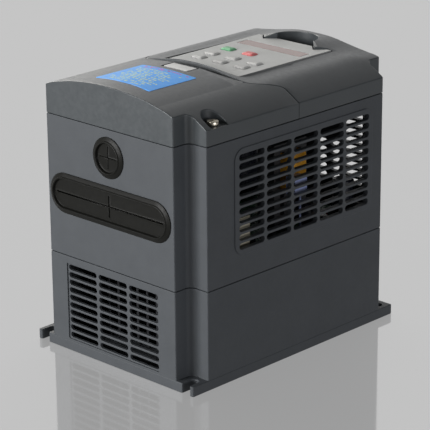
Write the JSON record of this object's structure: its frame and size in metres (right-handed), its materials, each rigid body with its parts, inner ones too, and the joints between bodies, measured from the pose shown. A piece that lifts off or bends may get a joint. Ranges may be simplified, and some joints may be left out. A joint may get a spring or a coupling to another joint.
{
  "type": "variable frequency drive",
  "caption": "Wall-mounted variable frequency drive with slotted plastic casing, lift-off terminal cover, pull-out keypad, rubber cable grommets and a fan-cooled heatsink.",
  "frame": {"origin": "centre of the mounting back, on the plane that touches the wall", "axes": "+X to the right when the keypad is read, +Y from the cable end to the fan end (up, on a wall), +Z out of the wall through the keypad"},
  "size_m": [0.1262, 0.1706, 0.1624],
  "materials": {
    "casing_plastic": "fine-textured dark grey moulded ABS",
    "cover_plastic": "satin dark grey moulded ABS",
    "grommet_rubber": "matt black",
    "label_blue": "printed polyester label",
    "badge_grey": "printed plate",
    "keypad_grey": "light grey",
    "key_grey": "light grey",
    "key_green": "green",
    "key_red": "red",
    "window_red": "smoked red-brown filter",
    "black_plastic": "matt",
    "board_green": "solder mask",
    "terminal_beige": "beige thermoplastic",
    "terminal_green": "green thermoplastic",
    "ribbon_grey": "flat cable insulation",
    "capacitor_sleeve": "shrink sleeve",
    "film_blue": "epoxy case",
    "tape_amber": "polyimide tape",
    "ferrite": "ferrite",
    "led_red": "diffused lens",
    "winding_copper": "enamelled copper wire",
    "screw_steel": "zinc plated",
    "standoff_brass": "turned",
    "heatsink_aluminium": "extruded, black anodised"
  },
  "bodies": {
    "chassis": {"base_housing": "casing_plastic", "board_ribbon": "ribbon_grey", "board_screw_1": "screw_steel", "board_screw_2": "screw_steel", "board_screw_3": "screw_steel", "board_screw_4": "screw_steel", "board_standoff_1": "standoff_brass", "board_standoff_2": "standoff_brass", "board_standoff_3": "standoff_brass", "board_standoff_4": "standoff_brass", "charge_led": "led_red", "control_board": "board_green", "control_terminal_block": "terminal_green", "dc_capacitor_1": "capacitor_sleeve", "dc_capacitor_2": "capacitor_sleeve", "dc_capacitor_3": "capacitor_sleeve", "fan_frame": "black_plastic", "film_capacitor": "film_blue", "filter_capacitor_1": "capacitor_sleeve", "filter_capacitor_2": "capacitor_sleeve", "heatsink": "heatsink_aluminium", "housing_screw_1": "screw_steel", "housing_screw_2": "screw_steel", "housing_screw_3": "screw_steel", "housing_screw_4": "screw_steel", "igbt_module": "black_plastic", "input_choke": "winding_copper", "insulating_sheet": "black_plastic", "keypad_socket": "black_plastic", "middle_housing": "casing_plastic", "oval_grommet": "grommet_rubber", "power_board": "board_green", "power_terminal_block": "terminal_beige", "precharge_relay": "black_plastic", "rectifier_bridge": "black_plastic", "round_grommet": "grommet_rubber", "transformer_core": "ferrite", "transformer_winding": "tape_amber", "upper_cover": "cover_plastic"},
    "terminal_cover": {"terminal_cover": "cover_plastic", "rating_label": "label_blue", "badge_plate": "badge_grey", "cover_screw_left": "screw_steel", "cover_screw_right": "screw_steel"},
    "keypad": {"keypad_shell": "keypad_grey", "keypad_faceplate": "keypad_grey", "display_window": "window_red", "display_module": "black_plastic", "keypad_board": "board_green", "keypad_rear_cover": "keypad_grey", "keypad_plug": "black_plastic"},
    "fan_rotor": {"fan_rotor": "black_plastic"},
    "key_run": {"key_run": "key_green"},
    "key_stop": {"key_stop": "key_red"},
    "key_grey_1": {"key_grey_1": "key_grey"},
    "key_grey_2": {"key_grey_2": "key_grey"},
    "key_grey_3": {"key_grey_3": "key_grey"},
    "key_grey_4": {"key_grey_4": "key_grey"},
    "key_grey_5": {"key_grey_5": "key_grey"},
    "key_grey_6": {"key_grey_6": "key_grey"}
  },
  "joints": [
    {"name": "terminal_cover_lift", "type": "slide", "parent": "chassis", "child": "terminal_cover", "axis": [0, 0, 1], "range_m": [0, 0.04]},
    {"name": "keypad_pull", "type": "slide", "parent": "chassis", "child": "keypad", "axis": [0, 0, 1], "range_m": [0, 0.03]},
    {"name": "fan_spin", "type": "hinge", "parent": "chassis", "child": "fan_rotor", "pos_m": [0, 0.0737, 0.0287], "axis": [0, 1, 0], "continuous": true},
    {"name": "press_run", "type": "slide", "parent": "keypad", "child": "key_run", "axis": [0, 0, -1], "range_m": [0, 0.0008], "stiffness_N_per_m": 800, "springref_m": -0.0008},
    {"name": "press_stop", "type": "slide", "parent": "keypad", "child": "key_stop", "axis": [0, 0, -1], "range_m": [0, 0.0008], "stiffness_N_per_m": 800, "springref_m": -0.0008},
    {"name": "press_grey_1", "type": "slide", "parent": "keypad", "child": "key_grey_1", "axis": [0, 0, -1], "range_m": [0, 0.0008], "stiffness_N_per_m": 800, "springref_m": -0.0008},
    {"name": "press_grey_2", "type": "slide", "parent": "keypad", "child": "key_grey_2", "axis": [0, 0, -1], "range_m": [0, 0.0008], "stiffness_N_per_m": 800, "springref_m": -0.0008},
    {"name": "press_grey_3", "type": "slide", "parent": "keypad", "child": "key_grey_3", "axis": [0, 0, -1], "range_m": [0, 0.0008], "stiffness_N_per_m": 800, "springref_m": -0.0008},
    {"name": "press_grey_4", "type": "slide", "parent": "keypad", "child": "key_grey_4", "axis": [0, 0, -1], "range_m": [0, 0.0008], "stiffness_N_per_m": 800, "springref_m": -0.0008},
    {"name": "press_grey_5", "type": "slide", "parent": "keypad", "child": "key_grey_5", "axis": [0, 0, -1], "range_m": [0, 0.0008], "stiffness_N_per_m": 800, "springref_m": -0.0008},
    {"name": "press_grey_6", "type": "slide", "parent": "keypad", "child": "key_grey_6", "axis": [0, 0, -1], "range_m": [0, 0.0008], "stiffness_N_per_m": 800, "springref_m": -0.0008}
  ]
}
